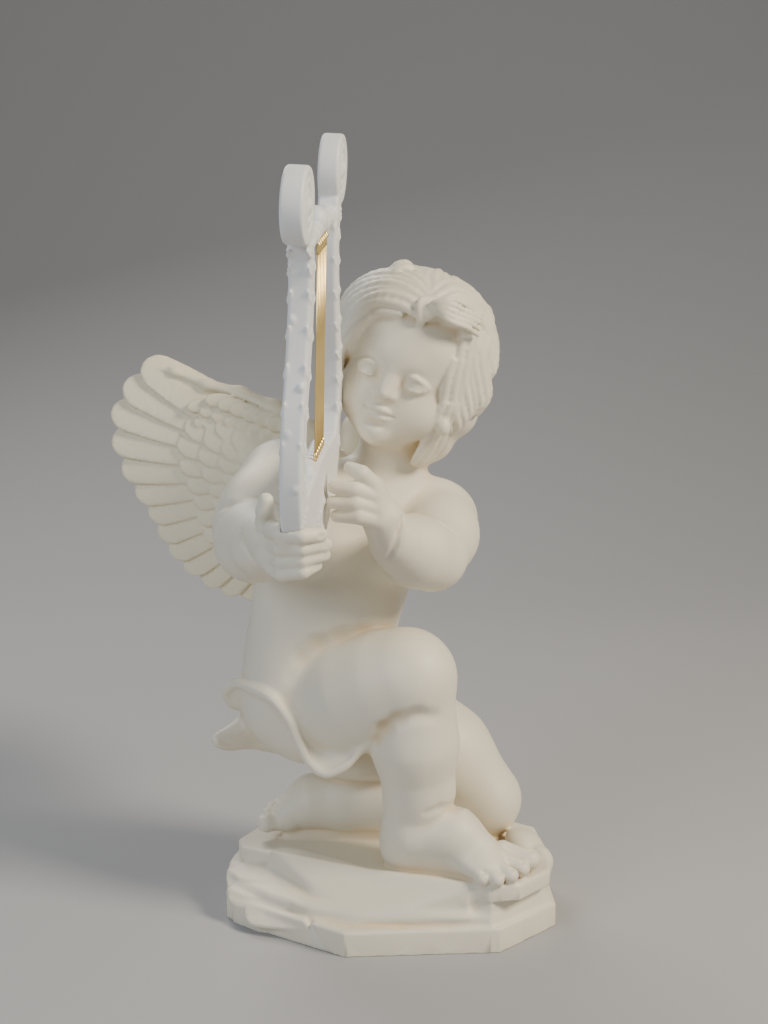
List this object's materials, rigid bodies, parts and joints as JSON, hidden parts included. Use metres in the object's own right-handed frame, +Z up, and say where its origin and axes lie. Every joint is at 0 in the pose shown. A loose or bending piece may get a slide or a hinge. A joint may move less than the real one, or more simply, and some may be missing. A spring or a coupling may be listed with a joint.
{
  "type": "kneeling cherub statue with lyre",
  "caption": "Kneeling winged child on a low layered rock, playing an upright lyre with gold strings.",
  "frame": {"origin": "centre of the rock's flat underside", "axes": "+Z up along the statue's height; -Y towards the viewer in the picture; +X the way the knees point"},
  "size_m": [0.2659, 0.3603, 0.4477],
  "materials": {
    "ivory_casting": "matt ivory casting, warmer in the hollows",
    "lyre_casting": "matt white casting",
    "gold_wire": "bright gold wire"
  },
  "bodies": {
    "root": {"cherub": "ivory_casting", "lyre_frame": "lyre_casting", "lyre_string_1": "gold_wire", "lyre_string_2": "gold_wire", "lyre_string_3": "gold_wire", "lyre_string_4": "gold_wire", "lyre_string_5": "gold_wire", "lyre_string_6": "gold_wire"}
  },
  "joints": []
}
